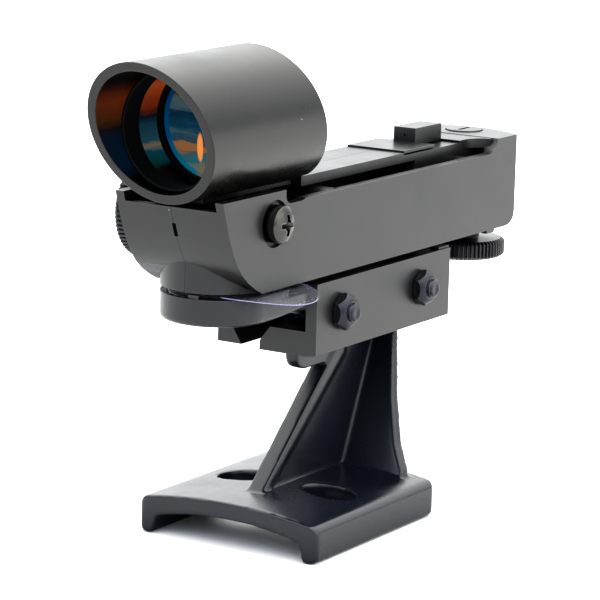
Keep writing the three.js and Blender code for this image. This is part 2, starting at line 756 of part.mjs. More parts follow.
function ledHousing() {
  const base = BEAM.topZ - LED_SEAT + FIT_GAP;
  const plate = box(-BEAM.half + 0.2, BEAM.half - 0.2, LED.plateY, LED.frontY + 1, base, base + LED.plate);
  const block = box(-LED.half, LED.half, LED.frontY, LED.rearY, base, LED.topZ);
  const ledBore = rod(1.2, LED.frontY + 1.5, LED.rearY - 1.5, "y", [0, 0, LED.boreZ], 20);
  const pinhole = rod(0.25, LED.frontY - 1, LED.frontY + 2, "y", [0, 0, LED.boreZ], 12);
  const leadWay = box(-0.8, 0.8, LED.rearY - 4, LED.rearY - 1.5, base - 1, LED.boreZ);
  return cut(joined(plate, block), ledBore, pinhole, leadWay);
}

function led() {
  const back = LED.rearY - 3.2;
  const profile = [
    [0, LED.frontY + 2],
    [0.6, LED.frontY + 2.3],
    [0.9, LED.frontY + 3],
    [0.9, back],
    [0, back],
  ];
  return turned(profile, "y", [0, 0, LED.boreZ], 20);
}

// ---------------------------------------------------------------- sight tube and optics

function planeY(y, slope, z) {
  return y + slope * (z - TUBE.z);
}

function sightTube() {
  const low = 70;
  const high = 112;
  const between = prismX(
    [
      [planeY(TUBE_CUT.frontY, TUBE_CUT.frontSlope, low), low],
      [planeY(TUBE_CUT.rearY, TUBE_CUT.rearSlope, low), low],
      [planeY(TUBE_CUT.rearY, TUBE_CUT.rearSlope, high), high],
      [planeY(TUBE_CUT.frontY, TUBE_CUT.frontSlope, high), high],
    ],
    -30,
    30,
  );
  const barrel = turned(
    [[0, -70], [TUBE.frontRadius, -70], [TUBE.rearRadius, -5], [0, -5]],
    "y",
    [0, 0, TUBE.z],
    56,
  ).intersect(between);
  const foot = box(-PEDESTAL.half, PEDESTAL.half, PEDESTAL.frontY, PEDESTAL.rearY, PEDESTAL.bottomZ, 84);
  const leg = box(-5, 5, -42.9, -39.7, 69, PEDESTAL.bottomZ + 1);
  const bore = rod(TUBE.bore, -80, LENS.y, "y", [0, 0, TUBE.z], 56);
  const rearBore = rod(TUBE.bore - 1.1, LENS.y - 1, 0, "y", [0, 0, TUBE.z], 56);
  const beamNotch = box(-BEAM.half - 1, BEAM.half + 1, BEAM.frontY - FIT_GAP, 0, 70, BEAM.topZ + FIT_GAP);
  return cut(joined(barrel, foot, leg), bore, rearBore, beamNotch);
}

function reflectorLens() {
  const seat = LENS.y - FIT_GAP;
  const steps = 4;
  const dome = [];
  for (let i = 0; i <= steps; i += 1) {
    const radius = (LENS.radius * (steps - i)) / steps;
    dome.push([radius, seat - LENS.thick - LENS.bulge * (1 - (radius / LENS.radius) ** 2)]);
  }
  return turned([...dome.reverse(), [LENS.radius, seat], [0, seat]], "y", [0, 0, TUBE.z], 36);
}

function tubeRing(inner, from, to) {
  return ring(TUBE.bore - FIT_GAP, inner, from, to, "y", [0, 0, TUBE.z], 36);
}

// ---------------------------------------------------------------- assembly

const root = new THREE.Group();
place(root, "bracket", "casting", bracket());

const sight = new THREE.Group();
sight.position.x = SIGHT_X;
root.add(sight);

place(sight, "dovetail_foot", "case", dovetailFoot());
place(sight, "clamp_plate", "case", clampPlate());
Object.entries({ front: BOLT.frontY, rear: BOLT.rearY }).forEach(([end, y]) => {
  place(sight, `clamp_bolt_${end}`, "blackSteel", clampBolt(y));
  place(sight, `clamp_nut_${end}`, "blackSteel", hexNut(y));
});

place(sight, "housing_left", "case", caseHalf(-1));
place(sight, "housing_right", "case", caseHalf(1));
Object.entries(CASE_SCREWS).forEach(([name, at]) => place(sight, name, "blackSteel", caseScrew(at)));

place(sight, "altitude_knob", "knob", altitudeKnob());
place(sight, "altitude_shaft", "blackSteel", altitudeShaft());
place(sight, "altitude_nut", "brass", altitudeNut());
place(sight, "azimuth_knob", "knob", azimuthKnob());
place(sight, "azimuth_shaft", "steel", azimuthShaft());
place(sight, "azimuth_nut", "brass", azimuthNut());
place(sight, "pivot_screw", "steel", pivotScrew());

place(sight, "battery_cover", "case", batteryCover());
place(sight, "coin_cell", "cell", coinCell());
place(sight, "battery_contact_upper", "steel", upperContact());
place(sight, "battery_contact_lower", "steel", lowerContact());
place(sight, "battery_pull_tab", "film", pullTab());

place(sight, "circuit_board", "board", circuitBoard());
place(sight, "brightness_potentiometer", "blackSteel", potentiometer());
place(sight, "brightness_wheel", "knob", brightnessWheel());
place(sight, "led_housing", "case", ledHousing());
place(sight, "led", "led", led());

place(sight, "sight_tube", "case", sightTube());
place(sight, "reflector_lens", "lens", reflectorLens());
place(sight, "lens_retaining_ring", "case", tubeRing(11.5, LENS.y - 4.6, LENS.y - 2.9));
place(sight, "front_baffle_ring", "case", tubeRing(11.7, LENS.y - 17, LENS.y - 11.5));

// the part's box is centred on the origin in plan
const tubeNoseY = TUBE_CUT.frontY + TUBE_CUT.frontSlope * TUBE.frontRadius;
root.position.y = -(tubeNoseY + STUD.y + KNOB.radius) / 2;

export default root;
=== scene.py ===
"""Red-dot star pointer sight on its saddle bracket: the looks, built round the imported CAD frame."""

import json
import math

import bmesh
import bpy
from mathutils import Matrix, Vector


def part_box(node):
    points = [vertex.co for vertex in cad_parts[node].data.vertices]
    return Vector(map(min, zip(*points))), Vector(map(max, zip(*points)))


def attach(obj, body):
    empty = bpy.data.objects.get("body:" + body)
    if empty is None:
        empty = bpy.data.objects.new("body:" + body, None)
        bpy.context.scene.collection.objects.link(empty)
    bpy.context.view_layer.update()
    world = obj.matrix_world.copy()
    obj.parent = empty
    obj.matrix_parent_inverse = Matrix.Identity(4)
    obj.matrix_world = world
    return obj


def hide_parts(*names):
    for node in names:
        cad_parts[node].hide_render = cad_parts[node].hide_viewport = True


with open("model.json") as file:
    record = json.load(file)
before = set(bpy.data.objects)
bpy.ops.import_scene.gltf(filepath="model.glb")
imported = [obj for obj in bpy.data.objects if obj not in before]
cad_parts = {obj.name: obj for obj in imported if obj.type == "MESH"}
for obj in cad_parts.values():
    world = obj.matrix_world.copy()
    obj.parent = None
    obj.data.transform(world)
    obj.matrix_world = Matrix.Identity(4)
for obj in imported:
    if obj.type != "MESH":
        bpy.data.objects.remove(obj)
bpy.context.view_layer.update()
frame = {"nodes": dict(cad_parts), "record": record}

MM = 0.001  # the sight is described in millimetres, the scene is in metres
RECORD = frame["record"]
BODY_OF = {n: body for body, nodes in RECORD["behaviour"]["bodies"].items() for n in nodes}
SLOT_OF = {s["node"]: s["material_slot"] for s in RECORD["subparts"]}


# ---------------------------------------------------------------- camera, floor and light


# Places and distances here are in metres, the focal length and the sensor in millimetres.
CAMERA_AT = (0.337117, -0.545022, 0.178007)
CAMERA_RIGHT = (0.84609, 0.53242, 0.02567)
CAMERA_UP = (-0.12677, 0.15421, 0.97988)
CAMERA_BACK = (0.51775, -0.83231, 0.19797)
FOCAL_LENGTH = 180.96
SENSOR_WIDTH = 36.0
FARTHEST_SEEN = 20.0

# Each row: place, size, power in watts and colour.
SOFTBOXES = {
    "top_softbox": ((0.1, 0.25, 0.8), (1.0, 0.8), 3.0, (1.0, 0.99, 0.94)),
    "right_softbox": ((0.9, 0.25, 0.3), (0.8, 0.6), 2.5, (1.0, 1.0, 1.0)),
}
LIGHT_TARGET = Vector((0.0, 0.0, 0.06))
PICTURE_GAMMA = 0.8
FLOOR_HALF_SIZE = 3.0
FLOOR_GAP = 0.0002
EYE_LEVEL_LIGHT = 1.45
OVERHEAD_LIGHT = 4.4
BACKDROP_LIGHT = 0.5
TOWARDS_BACKDROP = (-0.66, 0.75, 0.0)
NEUTRAL_WHITE = (0.97, 0.985, 1.0)
WARM_WHITE = (1.0, 1.0, 0.96)
COOL_WHITE = (0.86, 0.9, 1.05)


def add_camera():
    data = bpy.data.cameras.new("camera")
    data.lens = FOCAL_LENGTH
    data.sensor_width = SENSOR_WIDTH
    data.clip_end = FARTHEST_SEEN
    camera = bpy.data.objects.new("camera", data)
    turn = Matrix((CAMERA_RIGHT, CAMERA_UP, CAMERA_BACK)).transposed()
    camera.matrix_world = Matrix.Translation(CAMERA_AT) @ turn.to_4x4()
    bpy.context.scene.collection.objects.link(camera)
    bpy.context.scene.camera = camera


def add_area(name, at, size, power, colour):
    data = bpy.data.lights.new(name, "AREA")
    data.shape = "RECTANGLE"
    data.size, data.size_y = size
    data.energy = power
    data.color = colour
    lamp = bpy.data.objects.new(name, data)
    lamp.location = at
    lamp.rotation_euler = (LIGHT_TARGET - Vector(at)).to_track_quat("-Z", "Y").to_euler()
    bpy.context.scene.collection.objects.link(lamp)


def add_light():
    for name, settings in SOFTBOXES.items():
        add_area(name, *settings)
    bpy.context.scene.world = studio_world()
    bpy.context.scene.view_settings.view_transform = "Standard"
    bpy.context.scene.view_settings.gamma = PICTURE_GAMMA


def studio_world():
    """A white studio: brightest overhead, a lit backdrop behind the sight, cooler light ahead of it."""
    world = bpy.data.worlds.new("studio")
    world.use_nodes = True
    tree = world.node_tree
    background = tree.nodes["Background"]
    direction = add_node(tree, "ShaderNodeTexCoord").outputs["Generated"]
    parts = add_node(tree, "ShaderNodeSeparateXYZ")
    tree.links.new(direction, parts.inputs["Vector"])
    overhead = spread(tree, parts.outputs["Z"], 0.05, 0.8, EYE_LEVEL_LIGHT, OVERHEAD_LIGHT)
    behind = add_node(tree, "ShaderNodeVectorMath", operation="DOT_PRODUCT")
    tree.links.new(direction, behind.inputs[0])
    behind.inputs[1].default_value = TOWARDS_BACKDROP
    backdrop = spread(tree, behind.outputs["Value"], 0.3, 0.9, 0.0, BACKDROP_LIGHT)
    tree.links.new(calculate(tree, "ADD", overhead, backdrop), background.inputs["Strength"])
    upwards = spread(tree, parts.outputs["Z"], 0.1, 0.9, 0.0, 1.0)
    ahead = spread(tree, parts.outputs["Y"], -0.3, -0.9, 0.0, 1.0)
    colour = blend_colour(tree, upwards, NEUTRAL_WHITE, WARM_WHITE)
    tree.links.new(blend_colour(tree, ahead, colour, COOL_WHITE), background.inputs["Color"])
    return world


def add_floor():
    bm = bmesh.new()
    bmesh.ops.create_grid(bm, x_segments=8, y_segments=8, size=FLOOR_HALF_SIZE)
    floor = mesh_object("studio_floor", bm)
    floor.location.z = -FLOOR_GAP
    floor.data.materials.append(floor_material())


# ---------------------------------------------------------------- mesh helpers


def middle(node):
    low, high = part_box(node)
    return (low + high) / 2


STUD = 66.7  # distance of the rear shaft from the sight's own origin, along Y
TUBE_Z = 92.4  # height of the tube's axis
SIGHT = Vector((middle("altitude_shaft").x, middle("altitude_shaft").y - STUD * MM, 0.0))


def place(x, y, z):
    """A point of the sight, given in its own millimetres."""
    return SIGHT + Vector((x, y, z)) * MM


def mesh_object(name, bm):
    bmesh.ops.recalc_face_normals(bm, faces=bm.faces)
    mesh = bpy.data.meshes.new(name)
    bm.to_mesh(mesh)
    bm.free()
    obj = bpy.data.objects.new(name, mesh)
    bpy.context.scene.collection.objects.link(obj)
    mesh.shade_smooth()
    return obj


def apply_modifiers(obj):
    bpy.context.view_layer.update()
    evaluated = obj.evaluated_get(bpy.context.evaluated_depsgraph_get())
    mesh = bpy.data.meshes.new_from_object(evaluated)
    obj.modifiers.clear()
    obj.data = mesh


def crease(obj, angle=35.0):
    """Smooth shading that keeps the true edges sharp and the flat faces flat."""
    obj.data.shade_smooth()
    obj.data.set_sharp_from_angle(angle=math.radians(angle))
    weighted = obj.modifiers.new("flat_faces", "WEIGHTED_NORMAL")
    weighted.keep_sharp = True
    apply_modifiers(obj)


def soften(obj, width, segments=3, angle=35.0):
    """Rounds the sharp edges and shades the rest smoothly."""
    bevel = obj.modifiers.new("edges", "BEVEL")
    bevel.width = width * MM
    bevel.segments = segments
    bevel.limit_method = "ANGLE"
    bevel.angle_limit = math.radians(angle)
    bevel.use_clamp_overlap = True
    apply_modifiers(obj)
    crease(obj)


def carve(obj, cutter, operation="DIFFERENCE"):
    modifier = obj.modifiers.new("carve", "BOOLEAN")
    modifier.object = cutter
    modifier.operation = operation
    modifier.solver = "EXACT"
    apply_modifiers(obj)
    bpy.data.objects.remove(cutter)


WELD_DISTANCE = 0.002
FLAT_ANGLE = 0.6  # degrees between triangles that belong to one flat face


def cleaned_copy(node):
    """The CAD solid as a welded mesh with flat faces made whole again."""
    bm = bmesh.new()
    bm.from_mesh(frame["nodes"][node].data)
    bmesh.ops.remove_doubles(bm, verts=bm.verts, dist=WELD_DISTANCE * MM)
    flat = math.radians(FLAT_ANGLE)
    bmesh.ops.dissolve_limit(bm, angle_limit=flat, verts=bm.verts, edges=bm.edges)
    return mesh_object(f"{node}_fine", bm)


AXES = {
    "x": Matrix(((0, 0, 1), (1, 0, 0), (0, 1, 0))),
    "y": Matrix(((1, 0, 0), (0, 0, 1), (0, 1, 0))),
    "z": Matrix.Identity(3),
}


def turned(name, profile, steps, axis, centre, shape=None):
    """A closed turned mesh. profile holds (radius, distance) pairs in millimetres, and
    shape(radius, distance, angle) may change each ring's (radius, distance)."""
    bm = bmesh.new()
    rings = []
    for radius, distance in profile:
        ring = []
        for i in range(steps if radius > 0 else 1):
            angle = 2 * math.pi * i / steps
            r, d = shape(radius, distance, angle) if shape else (radius, distance)
            point = Vector((r * math.cos(angle), r * math.sin(angle), d)) * MM
            ring.append(bm.verts.new(AXES[axis] @ point + centre))
        rings.append(ring)
    for first, second in zip(rings, rings[1:]):
        bridge(bm, first, second, steps)
    if len(rings[0]) > 1:
        bridge(bm, rings[-1], rings[0], steps)
    return mesh_object(name, bm)


def bridge(bm, first, second, steps):
    """Faces between two loops. A loop of one vertex closes to a point."""
    for i in range(steps):
        j = (i + 1) % steps
        near = [first[i % len(first)], first[j % len(first)]]
        far = [second[j % len(second)], second[i % len(second)]]
        unique = list(dict.fromkeys(near + far))
        if len(unique) > 2:
            bm.faces.new(unique)


def rounded(profile, radius, closed=False, steps=3):
    """The outline with its corners replaced by short curves."""
    count = len(profile)
    inner = range(count) if closed else range(1, count - 1)
    result = [] if closed else [profile[0]]
    for i in inner:
        before, corner, after = (Vector(profile[k % count]) for k in (i - 1, i, i + 1))
        to_before, to_after = before - corner, after - corner
        reach = min(radius, to_before.length * 0.45, to_after.length * 0.45)
        start = corner + to_before.normalized() * reach
        end = corner + to_after.normalized() * reach
        for k in range(steps + 1):
            t = k / steps
            point = start * (1 - t) ** 2 + corner * 2 * t * (1 - t) + end * t**2
            result.append((point.x, point.y))
    return result if closed else [*result, profile[-1]]


def prism(name, outline, axis, low, high, centre):
    """A closed prism of an outline in millimetres, along an axis from low to high."""
    bm = bmesh.new()
    ends = []
    for level in (low, high):
        points = [AXES[axis] @ Vector((u, v, level)) * MM + centre for u, v in outline]
        ends.append([bm.verts.new(point) for point in points])
    bridge(bm, ends[0], ends[1], len(outline))
    for end in ends:
        bm.faces.new(end)
    return mesh_object(name, bm)


def block(name, low, high):
    """A box between two corners, in the sight's own millimetres."""
    outline = [(low[0], low[1]), (high[0], low[1]), (high[0], high[1]), (low[0], high[1])]
    return prism(name, outline, "z", low[2], high[2], SIGHT)


def polygon(radius, sides, turn=0.0):
    """The corners of a regular polygon round the origin."""
    angles = [turn + 2 * math.pi * i / sides for i in range(sides)]
    return [(radius * math.cos(a), radius * math.sin(a)) for a in angles]


def stands_for(obj, node, *more_materials):
    """Puts a finer piece in a CAD node's place."""
    obj.data.materials.clear()
    for material in (MATERIALS[SLOT_OF[node]], *more_materials):
        obj.data.materials.append(material)
    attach(obj, BODY_OF[node])
    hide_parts(node)


# ---------------------------------------------------------------- materials


BLACK = (0.0, 0.0, 0.0)
DUST = (0.6, 0.6, 0.56)
RECESS_REACH = 14  # millimetres within which other surfaces shade a recess
OCCLUSION_RAYS = 8
FINE_GRAIN = 2600.0
KNOB_GRAIN = 1500.0
COARSE_GRAIN = 900.0


def add_node(tree, kind, **settings):
    node = tree.nodes.new(kind)
    for key, value in settings.items():
        if key in node.inputs:
            node.inputs[key].default_value = value
        else:
            setattr(node, key, value)
    return node


def noise(tree, coordinates, scale, detail=4.0):
    node = add_node(tree, "ShaderNodeTexNoise", Scale=scale, Detail=detail, Roughness=0.55)
    tree.links.new(coordinates, node.inputs["Vector"])
    return node.outputs["Fac"]


def spread(tree, value, low_in, high_in, low_out, high_out):
    """The value, stretched from one range to another and held at its ends."""
    node = add_node(tree, "ShaderNodeMapRange")
    limits = {"From Min": low_in, "From Max": high_in, "To Min": low_out, "To Max": high_out}
    for key, number in limits.items():
        node.inputs[key].default_value = number
    tree.links.new(value, node.inputs["Value"])
    return node.outputs["Result"]


def blend_colour(tree, factor, first, second):
    node = add_node(tree, "ShaderNodeMix", data_type="RGBA")
    sockets = [s for s in node.inputs if s.type == "RGBA"]
    for socket, colour in zip(sockets, (first, second)):
        if isinstance(colour, bpy.types.NodeSocket):
            tree.links.new(colour, socket)
        else:
            socket.default_value = (*colour, 1.0)
    tree.links.new(factor, node.inputs["Factor"])
    return next(s for s in node.outputs if s.type == "RGBA")


def calculate(tree, operation, *values):
    node = add_node(tree, "ShaderNodeMath", operation=operation)
    for socket, value in zip(node.inputs, values):
        if isinstance(value, bpy.types.NodeSocket):
            tree.links.new(value, socket)
        else:
            socket.default_value = value
    return node.outputs["Value"]


def sum_of_squares(tree, first, second):
    squares = [calculate(tree, "POWER", value, 2.0) for value in (first, second)]
    return calculate(tree, "ADD", *squares)


def start_material(name):
    material = bpy.data.materials.new(name)
    material.use_nodes = True
    tree = material.node_tree
    shader = tree.nodes["Principled BSDF"]
    where = add_node(tree, "ShaderNodeTexCoord").outputs["Object"]
    return material, tree, shader, where


def bump(tree, shader, height, depth, strength):
    node = add_node(tree, "ShaderNodeBump", Strength=strength, Distance=depth)
    tree.links.new(height, node.inputs["Height"])
    tree.links.new(node.outputs["Normal"], shader.inputs["Normal"])


def edges(tree, reach):
    """1 near an outer edge, 0 on a flat face."""
    node = add_node(tree, "ShaderNodeAmbientOcclusion", Distance=reach * MM)
    node.inside = True
    node.samples = OCCLUSION_RAYS
    return spread(tree, node.outputs["AO"], 0.45, 0.95, 1.0, 0.0)


def open_to_light(tree, reach, low, high):
    """Painted shade: low deep inside gaps and recesses, high on open faces."""
    node = add_node(tree, "ShaderNodeAmbientOcclusion", Distance=reach * MM)
    node.samples = OCCLUSION_RAYS
    return spread(tree, node.outputs["AO"], 0.3, 0.8, low, high)


def dust(tree, where, amount):
    """Sparse pale specks about a tenth of a millimetre across."""
    cells = add_node(tree, "ShaderNodeTexVoronoi", Scale=330.0)
    tree.links.new(where, cells.inputs["Vector"])
    near = spread(tree, cells.outputs["Distance"], 0.035, 0.055, 1.0, 0.0)
    chance = add_node(tree, "ShaderNodeSeparateColor")
    tree.links.new(cells.outputs["Color"], chance.inputs["Color"])
    rare = spread(tree, chance.outputs["Red"], 1.0 - amount, 1.0 - amount + 0.01, 0.0, 1.0)
    return calculate(tree, "MULTIPLY", near, rare)


def plastic(name, dark, light, roughness, grain, depth, specks=0.06, sheen=0.5):
    """Moulded black plastic: mottled colour, spark-eroded grain, edges lightened by wear and a painted
    highlight, painted shade on the sheen in recesses, and a little dust.
    """
    material, tree, shader, where = start_material(name)
    mottle = spread(tree, noise(tree, where, 45.0, 3.0), 0.3, 0.7, 0.0, 1.0)
    # Edges lightened: partly worn, partly a painted highlight where edges catch the light.
    worn_and_highlit_edge = tuple(c * 1.4 + 0.002 for c in light)
    colour = blend_colour(tree, edges(tree, 0.5), blend_colour(tree, mottle, dark, light), worn_and_highlit_edge)
    colour = blend_colour(tree, dust(tree, where, specks), colour, DUST)
    tree.links.new(colour, shader.inputs["Base Color"])
    smudge = spread(tree, noise(tree, where, 90.0, 5.0), 0.25, 0.75, roughness - 0.05, roughness + 0.06)
    tree.links.new(smudge, shader.inputs["Roughness"])
    # Painted shade: the sheen is turned down inside gaps and recesses.
    painted_recess_shade = open_to_light(tree, RECESS_REACH, 0.12 * sheen, sheen)
    tree.links.new(painted_recess_shade, shader.inputs["Specular IOR Level"])
    bump(tree, shader, noise(tree, where, grain, 2.0), depth * MM, 0.5)
    return material


def metal(name, colour, roughness):
    """Plated steel or turned brass with fine tool marks, stains and edges lightened by wear and a painted
    highlight.
    """
    material, tree, shader, where = start_material(name)
    stain = noise(tree, where, 180.0, 5.0)
    darker = tuple(c * 0.7 for c in colour)
    # Edges lightened: partly worn, partly a painted highlight.
    bright = tuple(min(1.0, c * 1.8 + 0.05) for c in colour)
    stained = blend_colour(tree, spread(tree, stain, 0.35, 0.65, 0.0, 1.0), darker, colour)
    tree.links.new(blend_colour(tree, edges(tree, 0.25), stained, bright), shader.inputs["Base Color"])
    shader.inputs["Metallic"].default_value = 1.0
    gloss = spread(tree, stain, 0.2, 0.8, roughness - 0.06, roughness + 0.08)
    tree.links.new(gloss, shader.inputs["Roughness"])
    bump(tree, shader, noise(tree, where, 900.0, 2.0), 0.006 * MM, 0.6)
    return material


def floor_material():
    material, tree, shader, where = start_material("studio_paper")
    tint = blend_colour(tree, noise(tree, where, 6.0, 3.0), (0.66, 0.66, 0.655), (0.7, 0.7, 0.695))
    tree.links.new(tint, shader.inputs["Base Color"])
    shader.inputs["Roughness"].default_value = 0.75
    bump(tree, shader, noise(tree, where, 700.0, 3.0), 0.02 * MM, 0.3)
    return material


def film_material():
    """Clear polyester that shows by its gloss and its cut edge."""
    material, tree, shader, where = start_material("clear_film")
    ripple = noise(tree, where, 60.0, 3.0)
    tint = blend_colour(tree, edges(tree, 0.4), (0.92, 0.94, 1.0), (0.7, 0.72, 0.95))
    tree.links.new(tint, shader.inputs["Base Color"])
    tree.links.new(spread(tree, ripple, 0.3, 0.7, 0.03, 0.1), shader.inputs["Roughness"])
    shader.inputs["IOR"].default_value = 1.25
    shader.inputs["Transmission Weight"].default_value = 0.95
    shader.inputs["Alpha"].default_value = 0.3
    bump(tree, shader, ripple, 0.05 * MM, 0.2)
    return material


def from_tube_axis(tree, where):
    """Object coordinates in millimetres from the tube's axis."""
    shift = add_node(tree, "ShaderNodeVectorMath", operation="SUBTRACT")
    tree.links.new(where, shift.inputs[0])
    shift.inputs[1].default_value = place(0, 0, TUBE_Z)
    scaled = add_node(tree, "ShaderNodeVectorMath", operation="SCALE")
    scaled.inputs["Scale"].default_value = 1.0 / MM
    tree.links.new(shift.outputs["Vector"], scaled.inputs[0])
    parts = add_node(tree, "ShaderNodeSeparateXYZ")
    tree.links.new(scaled.outputs["Vector"], parts.inputs["Vector"])
    return parts.outputs


def oval(tree, parts, centre, half_size):
    """1 inside an oval on the lens, 0 outside."""
    across = calculate(tree, "DIVIDE", calculate(tree, "SUBTRACT", parts["X"], centre[0]), half_size[0])
    up = calculate(tree, "DIVIDE", calculate(tree, "SUBTRACT", parts["Z"], centre[1]), half_size[1])
    return spread(tree, sum_of_squares(tree, across, up), 0.6, 1.1, 1.0, 0.0)


def bands(tree, height, stops):
    """Colour by height, with each stop given in millimetres from the tube's axis."""
    ramp = add_node(tree, "ShaderNodeValToRGB")
    tree.links.new(spread(tree, height, -BAND_REACH, BAND_REACH, 0.0, 1.0), ramp.inputs["Fac"])
    elements = ramp.color_ramp.elements
    elements.remove(elements[0])
    for index, (level, colour) in enumerate(stops):
        position = (level + BAND_REACH) / (2 * BAND_REACH)
        element = elements[0] if index == 0 else elements.new(position)
        element.position = position
        element.color = (*colour, 1.0)
    return ramp.outputs["Color"]


def streaky(tree, where, height, swing):
    """The height, disturbed by noise that is drawn out along the horizontal."""
    stretch = add_node(tree, "ShaderNodeMapping")
    stretch.inputs["Scale"].default_value = (150.0, 150.0, 900.0)
    tree.links.new(where, stretch.inputs["Vector"])
    streaks = add_node(tree, "ShaderNodeTexNoise", Scale=1.0, Detail=4.0, Roughness=0.6)
    tree.links.new(stretch.outputs["Vector"], streaks.inputs["Vector"])
    return calculate(tree, "ADD", height, spread(tree, streaks.outputs["Fac"], 0.3, 0.7, -swing, swing))


BAND_REACH = 12.0  # millimetres above and below the tube's axis that the colour bands cover
# Strength of the emission that paints the reflections on the lens and on the bore wall.
LENS_REFLECTION_GLOW = 0.72
BORE_REFLECTION_GLOW = 0.62
PAINTED_HIGHLIGHT_SPOT = ((-2.5, -5.3), (0.8, 3.1))  # centre and half size of the painted bright amber highlight, in X and Z
TEAL = (0.012, 0.09, 0.15)
DEEP_TEAL = (0.004, 0.04, 0.085)
BRIGHT_TEAL = (0.03, 0.22, 0.27)
GREY_TEAL = (0.09, 0.16, 0.18)
AMBER = (0.42, 0.2, 0.085)
DARK_AMBER = (0.16, 0.075, 0.02)
BRIGHT_AMBER = (1.3, 0.5, 0.13)
SAND = (0.3, 0.25, 0.15)

# Painted reflections on the lens and its rim, by height from the tube's axis.
LENS_REFLECTION_BANDS = [
    (-12.0, BLACK),
    (-11.0, AMBER),
    (-9.6, SAND),
    (-8.0, BRIGHT_TEAL),
    (-6.9, GREY_TEAL),
    (-5.9, AMBER),
    (-4.7, AMBER),
    (-4.1, TEAL),
    (-2.8, GREY_TEAL),
    (-1.6, TEAL),
    (0.9, DEEP_TEAL),
    (2.2, GREY_TEAL),
    (4.4, GREY_TEAL),
    (5.2, DARK_AMBER),
    (6.2, BLACK),
]
RIM_REFLECTION_BANDS = [
    (-10.0, (0.0, 0.24, 0.34)),
    (-4.0, (0.0, 0.11, 0.27)),
    (6.0, (0.0, 0.06, 0.17)),
    (9.0, BLACK),
]
# Painted reflections on the bore wall, at its mouth and deeper in, by height from the tube's axis.
BORE_MOUTH_REFLECTION_BANDS = [
    (-10.0, BLACK),
    (-8.0, (0.0, 0.02, 0.05)),
    (-2.0, (0.004, 0.014, 0.035)),
    (-0.6, (0.01, 0.008, 0.008)),
    (0.8, (0.09, 0.03, 0.004)),
    (5.0, (0.2, 0.035, 0.006)),
    (8.4, (0.03, 0.004, 0.0)),
    (9.4, BLACK),
]
BORE_DEPTH_REFLECTION_BANDS = [
    (-9.4, BLACK),
    (-8.2, (0.0, 0.07, 0.07)),
    (-6.6, (0.0, 0.1, 0.15)),
    (-5.2, (0.28, 0.22, 0.15)),
    (-4.4, (0.03, 0.12, 0.16)),
    (-1.0, (0.01, 0.07, 0.11)),
    (0.7, (0.005, 0.01, 0.02)),
    (2.0, (0.22, 0.03, 0.004)),
    (7.5, (0.5, 0.1, 0.02)),
    (9.0, (0.3, 0.04, 0.0)),
    (10.2, BLACK),
]


def lens_material():
    """Partly reflecting glass with painted reflections: teal and amber streaks, a blue rim and one bright
    amber highlight.
    """
    material, tree, shader, where = start_material("lens_painted_reflections")
    parts = from_tube_axis(tree, where)
    painted_reflection = bands(tree, streaky(tree, where, parts["Z"], 1.1), LENS_REFLECTION_BANDS)
    reach = calculate(tree, "SQRT", sum_of_squares(tree, parts["X"], parts["Z"]))
    outer = spread(tree, reach, 10.3, 10.9, 0.0, 1.0)
    left = spread(tree, parts["X"], -1.0, -4.0, 0.0, 1.0)
    rim = calculate(tree, "MULTIPLY", outer, left)
    painted_reflection = blend_colour(tree, rim, painted_reflection, bands(tree, parts["Z"], RIM_REFLECTION_BANDS))
    painted_reflection = blend_colour(tree, oval(tree, parts, *PAINTED_HIGHLIGHT_SPOT), painted_reflection, BRIGHT_AMBER)
    # Painted reflections: these colours shine by emission, though the lens is no lamp.
    tree.links.new(painted_reflection, shader.inputs["Emission Color"])
    shader.inputs["Emission Strength"].default_value = LENS_REFLECTION_GLOW
    specks = blend_colour(tree, dust(tree, where, 0.05), BLACK, (0.5, 0.5, 0.5))
    tree.links.new(specks, shader.inputs["Base Color"])
    smear = noise(tree, where, 240.0, 3.0)
    tree.links.new(spread(tree, smear, 0.3, 0.7, 0.04, 0.12), shader.inputs["Roughness"])
    shader.inputs["Specular IOR Level"].default_value = 0.2
    bump(tree, shader, smear, 0.01 * MM, 0.1)
    return material


def bore_material():
    """Glossy black wall with painted reflections, shining amber high on the far side and teal below it.
    """
    material, tree, shader, where = start_material("bore_black")
    parts = from_tube_axis(tree, where)
    height = streaky(tree, where, parts["Z"], 0.5)
    mouth = bands(tree, height, BORE_MOUTH_REFLECTION_BANDS)
    depth = bands(tree, height, BORE_DEPTH_REFLECTION_BANDS)
    painted_bore_reflection = blend_colour(tree, spread(tree, parts["Y"], -50.0, -49.0, 0.0, 1.0), mouth, depth)
    far_side = spread(tree, parts["X"], -3.0, -7.0, 0.0, 1.0)
    # Painted reflections, shining by emission on the far side of the bore.
    tree.links.new(blend_colour(tree, far_side, BLACK, painted_bore_reflection), shader.inputs["Emission Color"])
    shader.inputs["Emission Strength"].default_value = BORE_REFLECTION_GLOW
    specks = blend_colour(tree, dust(tree, where, 0.1), (0.001, 0.001, 0.001), (0.4, 0.4, 0.4))
    tree.links.new(specks, shader.inputs["Base Color"])
    smudge = spread(tree, noise(tree, where, 130.0, 3.0), 0.3, 0.7, 0.3, 0.4)
    tree.links.new(smudge, shader.inputs["Roughness"])
    shader.inputs["Specular IOR Level"].default_value = 0.08
    bump(tree, shader, noise(tree, where, FINE_GRAIN, 2.0), 0.01 * MM, 0.4)
    return material


def film_edge_material():
    """The cut edge of the film, which catches the light."""
    material, tree, shader, where = start_material("film_edge")
    tint = blend_colour(tree, noise(tree, where, 400.0, 3.0), (0.16, 0.16, 0.3), (0.35, 0.35, 0.55))
    tree.links.new(tint, shader.inputs["Base Color"])
    shader.inputs["Roughness"].default_value = 0.2
    bump(tree, shader, noise(tree, where, 900.0, 2.0), 0.01 * MM, 0.3)
    return material


